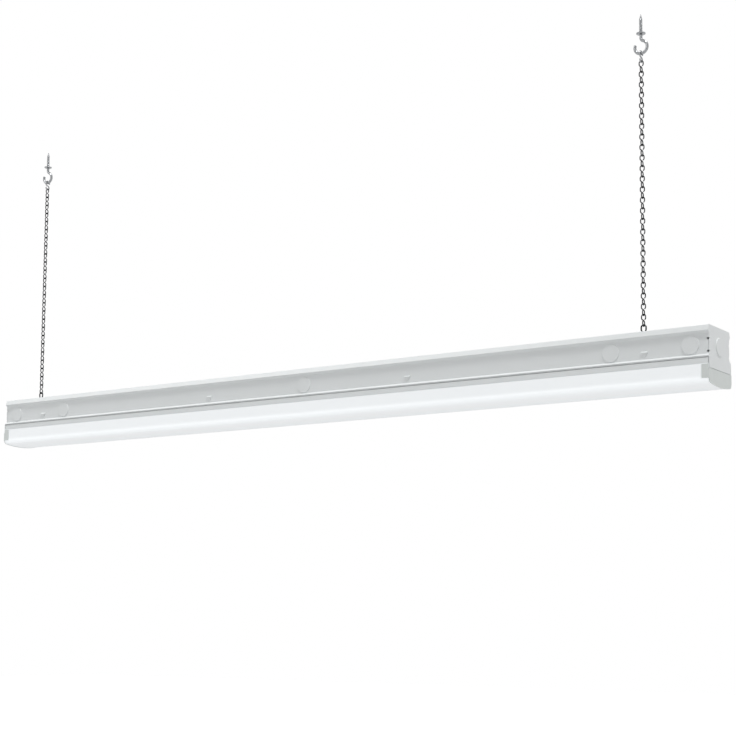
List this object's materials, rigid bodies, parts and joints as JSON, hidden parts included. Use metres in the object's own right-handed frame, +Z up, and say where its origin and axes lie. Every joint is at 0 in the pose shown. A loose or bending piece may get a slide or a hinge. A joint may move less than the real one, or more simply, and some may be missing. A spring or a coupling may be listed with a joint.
{
  "type": "hanging shop light",
  "caption": "Long white steel strip light with a frosted U lens and drop-down LED tray, hung level from the ceiling on jack chains with hooks at both ends.",
  "frame": {"origin": "midway between the two ceiling hooks, on the ceiling plane", "axes": "+X along the light, to the right when its front is seen; -Y its front; +Z up, out of the ceiling hooks' screw points"},
  "size_m": [1.2213, 0.071, 0.4938],
  "materials": {
    "white_enamel": "gloss baked enamel",
    "frosted_lens": "frosted acrylic",
    "cap_plastic": "moulded, light grey",
    "bright_wire": "zinc plated wire",
    "zinc_screws": "zinc plated",
    "spring_steel": "bare spring steel",
    "driver_plate_steel": "galvanised sheet",
    "driver_plastic": "moulded",
    "terminal_plastic": "moulded",
    "black_pvc": "wire insulation",
    "white_pvc": "wire insulation",
    "green_pvc": "wire insulation",
    "red_pvc": "wire insulation",
    "blue_pvc": "wire insulation",
    "plug_nylon": "moulded nylon",
    "board_white": "white solder mask",
    "led_phosphor": "phosphor and clear resin"
  },
  "bodies": {
    "ceiling": {"ceiling_hook_left": "bright_wire", "ceiling_hook_right": "bright_wire"},
    "left_s_hook": {"s_hook_left": "bright_wire"},
    "left_chain": {"chain_left": "bright_wire"},
    "light": {"channel_housing": "white_enamel", "end_plate_left": "white_enamel", "end_plate_right": "white_enamel", "end_plate_screws": "zinc_screws", "hanger_hook_left": "bright_wire", "hanger_hook_right": "bright_wire", "driver_base": "driver_plate_steel", "driver_case": "driver_plastic", "driver_screws": "zinc_screws", "terminal_block": "terminal_plastic", "supply_lead_line": "black_pvc", "supply_lead_neutral": "white_pvc", "ground_lead": "green_pvc", "ground_screw": "zinc_screws", "output_lead_positive": "red_pvc", "output_lead_negative": "blue_pvc", "disconnect_socket": "plug_nylon"},
    "right_chain": {"chain_right": "bright_wire"},
    "right_s_hook": {"s_hook_right": "bright_wire"},
    "tray": {"led_tray": "white_enamel", "tray_catches": "spring_steel", "led_board_left": "board_white", "led_board_right": "board_white", "led_chips": "led_phosphor", "board_screws": "zinc_screws", "board_link": "plug_nylon", "board_connector": "plug_nylon", "board_leads": "red_pvc", "disconnect_plug": "plug_nylon", "lens": "frosted_lens", "lens_end_cap_left": "cap_plastic", "lens_end_cap_right": "cap_plastic"}
  },
  "joints": [
    {"name": "sideways_swing", "type": "hinge", "parent": "ceiling", "child": "left_s_hook", "pos_m": [-0.53695, 0, -0.02704], "axis": [1, 0, 0], "range_deg": [-30, 30]},
    {"name": "lengthwise_swing", "type": "hinge", "parent": "left_s_hook", "child": "left_chain", "pos_m": [-0.53695, 0, -0.03859], "axis": [0, 1, 0], "range_deg": [-20, 20]},
    {"name": "light_level", "type": "hinge", "parent": "left_chain", "child": "light", "pos_m": [-0.53695, 0, -0.38214], "axis": [0, 1, 0], "range_deg": [-20, 20]},
    {"name": "right_chain_swing", "type": "hinge", "parent": "light", "child": "right_chain", "pos_m": [0.53695, 0, -0.38214], "axis": [0, 1, 0], "range_deg": [-20, 20]},
    {"name": "right_s_hook_level", "type": "hinge", "parent": "right_chain", "child": "right_s_hook", "pos_m": [0.53695, 0, -0.03859], "axis": [0, 1, 0], "range_deg": [-20, 20]},
    {"name": "tray_hinge", "type": "hinge", "parent": "light", "child": "tray", "pos_m": [0.02715, 0.034, -0.43553], "axis": [1, 0, 0], "range_deg": [0, 90]}
  ],
  "couplings": [
    {"joint": "light_level", "follows": "lengthwise_swing", "ratio": -1},
    {"joint": "right_chain_swing", "follows": "lengthwise_swing", "ratio": 1},
    {"joint": "right_s_hook_level", "follows": "lengthwise_swing", "ratio": -1}
  ]
}
